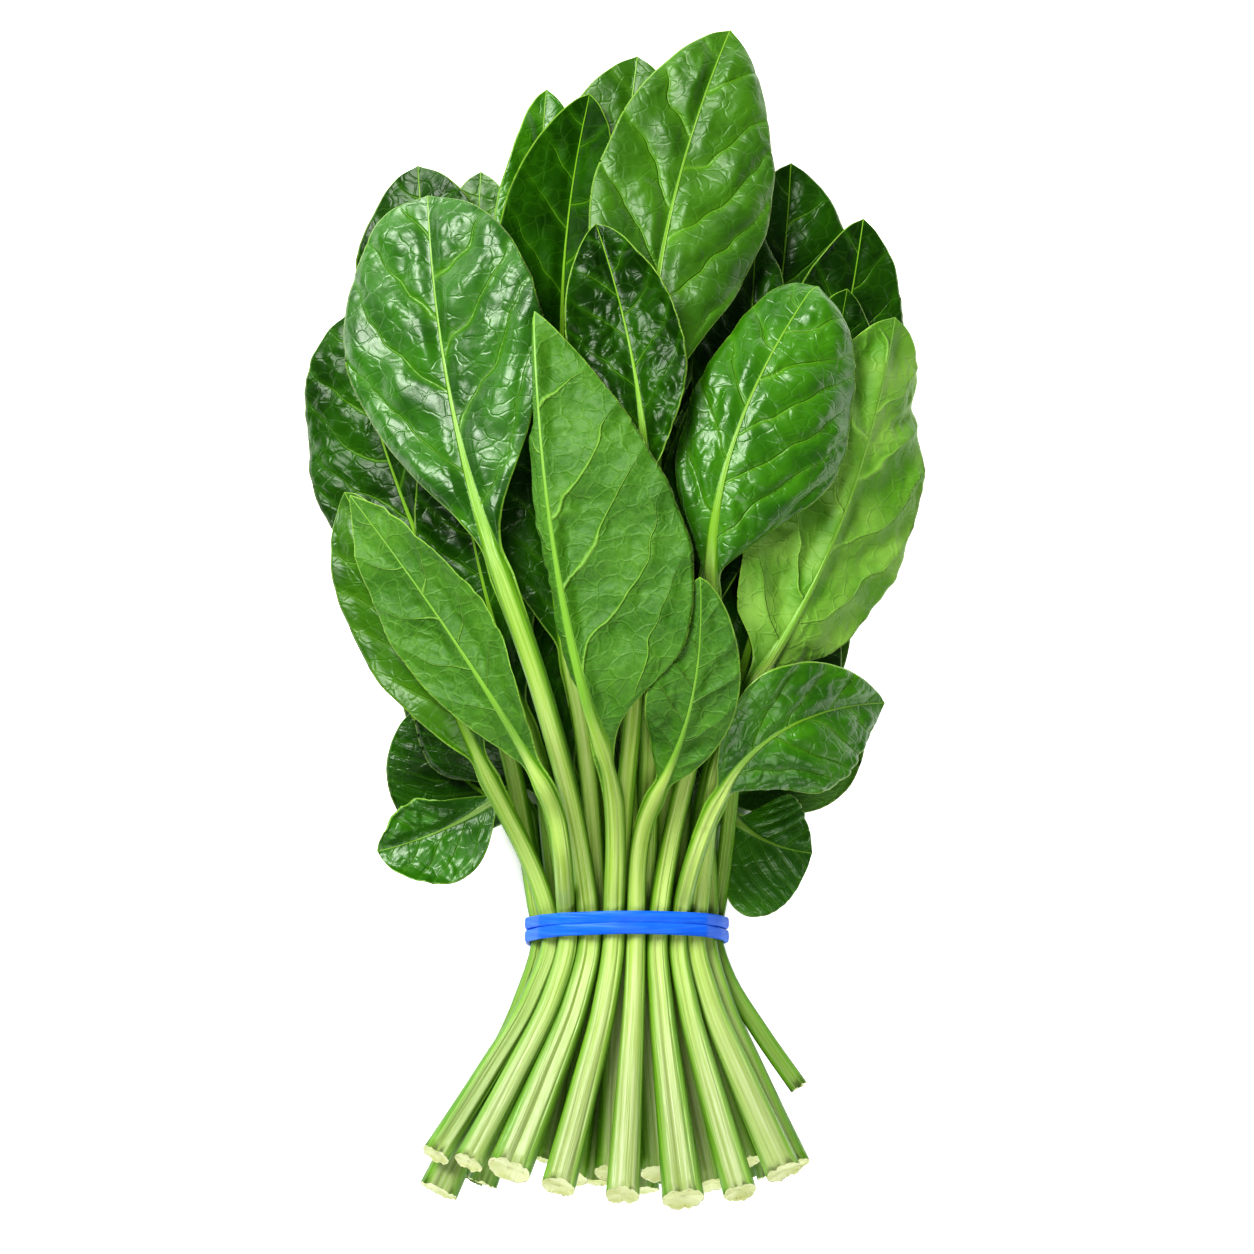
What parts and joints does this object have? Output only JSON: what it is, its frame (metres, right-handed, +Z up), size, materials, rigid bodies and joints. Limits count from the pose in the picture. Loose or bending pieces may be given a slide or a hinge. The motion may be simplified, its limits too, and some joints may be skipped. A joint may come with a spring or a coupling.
{
  "type": "bunch of spinach",
  "caption": "Bunch of fresh spinach lying on its side, tied round the stalks with a rubber band, its long stalks flaring to cut ends and its broad leaves spread in a mound.",
  "frame": {"origin": "on the table, under the middle of the bunch's bounding box", "axes": "+Y runs from the cut ends of the stalks to the leaf tips, +X to the right seen from above, +Z up from the table"},
  "size_m": [0.1688, 0.317, 0.0782],
  "materials": {
    "leaf_upper_side_up": "satin",
    "leaf_underside_up": "matte",
    "rubber_band": "satin"
  },
  "bodies": {
    "root": {"centre_leaf": "leaf_upper_side_up", "front_left_leaf": "leaf_upper_side_up", "front_low_leaf": "leaf_underside_up", "front_middle_leaf": "leaf_underside_up", "front_right_leaf": "leaf_upper_side_up", "inner_back_leaf": "leaf_upper_side_up", "inner_left_leaf": "leaf_upper_side_up", "inner_low_leaf": "leaf_upper_side_up", "inner_middle_leaf": "leaf_upper_side_up", "inner_outer_left_leaf": "leaf_upper_side_up", "inner_outer_right_leaf": "leaf_upper_side_up", "inner_right_leaf": "leaf_upper_side_up", "left_dark_leaf": "leaf_upper_side_up", "left_reflexed_leaf": "leaf_upper_side_up", "low_left_leaf": "leaf_underside_up", "low_left_pale_leaf": "leaf_upper_side_up", "low_right_leaf": "leaf_upper_side_up", "right_back_leaf": "leaf_upper_side_up", "right_pale_leaf": "leaf_underside_up", "right_reflexed_leaf": "leaf_upper_side_up", "right_shoulder_leaf": "leaf_upper_side_up", "rubber_band": "rubber_band", "tall_back_leaf": "leaf_upper_side_up", "tall_left_leaf": "leaf_upper_side_up", "tall_middle_leaf": "leaf_upper_side_up", "tall_right_leaf": "leaf_upper_side_up", "top_left_leaf": "leaf_upper_side_up", "top_left_pale_leaf": "leaf_upper_side_up", "top_right_leaf": "leaf_upper_side_up", "under_leaf_01": "leaf_upper_side_up", "under_leaf_02": "leaf_underside_up", "under_leaf_03": "leaf_upper_side_up", "under_leaf_04": "leaf_upper_side_up", "under_leaf_05": "leaf_underside_up", "under_leaf_06": "leaf_upper_side_up", "under_leaf_07": "leaf_upper_side_up", "under_leaf_08": "leaf_underside_up", "under_leaf_09": "leaf_upper_side_up", "under_leaf_10": "leaf_upper_side_up", "under_leaf_11": "leaf_underside_up", "under_leaf_12": "leaf_upper_side_up", "under_leaf_13": "leaf_upper_side_up", "under_leaf_14": "leaf_underside_up"}
  },
  "joints": []
}
